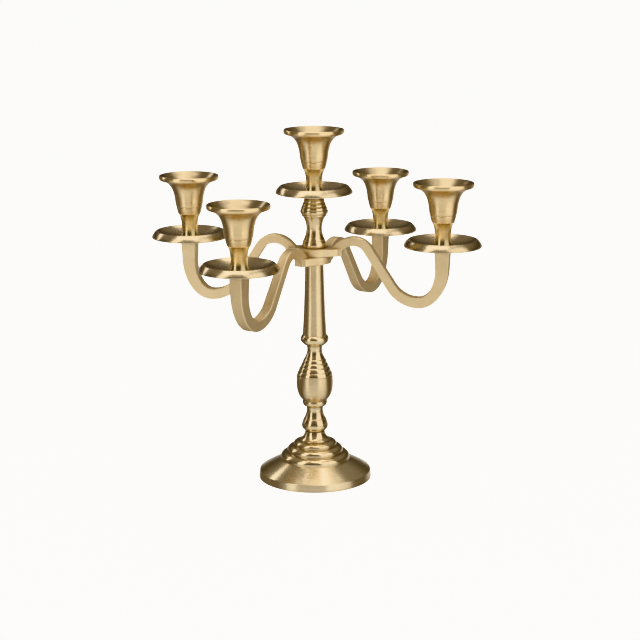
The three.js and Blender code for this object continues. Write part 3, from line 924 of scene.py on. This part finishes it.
# Below the horizon lies a pale table, bright in front of the object and behind it. Above the
# horizon is a dim studio with a lighter ceiling. Heights are sines of the elevation.
TABLE_EDGE = -0.02
TABLE_LIGHT = (0.86, 0.86, 0.86)
FAR_TABLE_LIGHT = (0.165, 0.142, 0.118)
BACK_TABLE_LIGHT = (0.7, 0.68, 0.65)
FAR_WAY = (-0.3, 1.0, 1.0)              # the table dims along this way...
FAR_SPAN = (-1.0, -0.3)                 # ...between these distances along it
BACK_SPAN = (0.7, 0.95)                 # and lightens again behind, by the direction's Y
HORIZON_LIGHT = (0.4, 0.37, 0.34)
ROOM_LIGHT = (0.096, 0.084, 0.072)
CEILING_LIGHT = (0.27, 0.245, 0.215)
ROOM_STOPS = [(0.0, HORIZON_LIGHT), (0.14, ROOM_LIGHT), (0.3, ROOM_LIGHT), (0.6, CEILING_LIGHT)]
BACKDROP_LIGHT = (1.6, 1.6, 1.6)        # only the camera sees it

world = bpy.data.worlds.new("studio")
bpy.context.scene.world = world
world.use_nodes = True
room = Nodes(world.node_tree)
direction = room.add("ShaderNodeTexCoord", output="Generated")
heading = room.split(direction)
ramp = room.tree.nodes.new("ShaderNodeValToRGB")
room.plug(heading["Z"], ramp.inputs["Fac"])
stops = ramp.color_ramp.elements
for i, (height, light) in enumerate(ROOM_STOPS):
    stop = stops[i] if i < len(stops) else stops.new(height)
    stop.position = height
    stop.color = (*light, 1)
far = room.remap(room.dot(direction, FAR_WAY), FAR_SPAN, (0.0, 1.0))
behind = room.remap(heading["Y"], BACK_SPAN, (0.0, 1.0))
table = room.mix(behind, room.mix(far, TABLE_LIGHT, FAR_TABLE_LIGHT), BACK_TABLE_LIGHT)
below = room.maths("LESS_THAN", heading["Z"], TABLE_EDGE)
reflected = room.mix(below, ramp.outputs["Color"], table)
camera_ray = room.add("ShaderNodeLightPath", output="Is Camera Ray")
room.plug(room.mix(camera_ray, reflected, BACKDROP_LIGHT),
          room.tree.nodes["Background"].inputs["Color"])


# ---------------------------------------------------------------- lamps

LAMP_WARMTH = (1.0, 0.985, 0.965)
STRIP_TARGET = Vector((0, 0, 0.15))


def softbox(name, centre, target, width, height, brightness):
    """A rectangular diffuse light. The brightness is its radiance, as a mirror would show it."""
    data = bpy.data.lights.new(name, "AREA")
    data.shape = "RECTANGLE"
    data.size, data.size_y = width, height
    data.energy = brightness * math.pi * width * height
    data.color = LAMP_WARMTH
    lamp = bpy.data.objects.new(name, data)
    bpy.context.scene.collection.objects.link(lamp)
    lamp.location = centre
    lamp.rotation_euler = (Vector(centre) - Vector(target)).to_track_quat("Z", "Y").to_euler()
    return lamp


def around(azimuth_deg, away, height):
    """A place at a distance from the axis. The azimuth is 0 in front and grows to the right."""
    angle = math.radians(azimuth_deg)
    return (away * math.sin(angle), -away * math.cos(angle), height)


def strip(name, start, end, width, brightness):
    """A long narrow light between two places, facing the lower part of the object."""
    start, end = Vector(start), Vector(end)
    centre = (start + end) / 2
    lamp = softbox(name, centre, STRIP_TARGET, (end - start).length, width, brightness)
    facing = (centre - STRIP_TARGET).normalized()
    along = (end - start - facing * (end - start).dot(facing)).normalized()
    lamp.rotation_euler = Matrix((along, facing.cross(along), facing)).transposed().to_euler()


# Centre, the place it faces, width, height, radiance. The boxes "in table" stand below the
# floor, which the metal does not see: they are the big boxes' mirror images in the table.
softbox("left_box", around(-36, 1.3, 1.05), (0, 0, 0.55), 0.52, 2.0, 1.75)
softbox("left_box_in_table", around(-36, 1.3, -0.25), (0, 0, 0.2), 0.52, 0.5, 0.25)
softbox("right_box", around(62, 1.4, 1.0), (0, 0, 0.5), 1.55, 1.9, 1.2)
softbox("right_box_in_table", around(62, 1.4, -0.25), (0, 0, 0.2), 1.55, 0.5, 0.35)
softbox("top_box", (0.17, 0.3, 1.7), (0.17, 0.3, 0.3), 1.15, 1.0, 1.2)
softbox("top_panel", (0.0, 0.43, 1.6), (0, 0.43, 0.1), 0.46, 0.62, 2.2)
softbox("front_top_box", (-0.1, -0.5, 1.6), (-0.1, -0.5, 0.3), 1.2, 0.55, 2.8)
# Start, end, width, radiance.
strip("left_strip", (-1.17, 0.04, 0.25), (-1.06, 0.17, 0.75), 0.13, 1.9)
strip("rear_left_strip", (-1.06, 0.17, 0.75), (-0.72, 0.62, 0.92), 0.15, 2.3)

bpy.context.scene.view_settings.view_transform = "Khronos PBR Neutral"
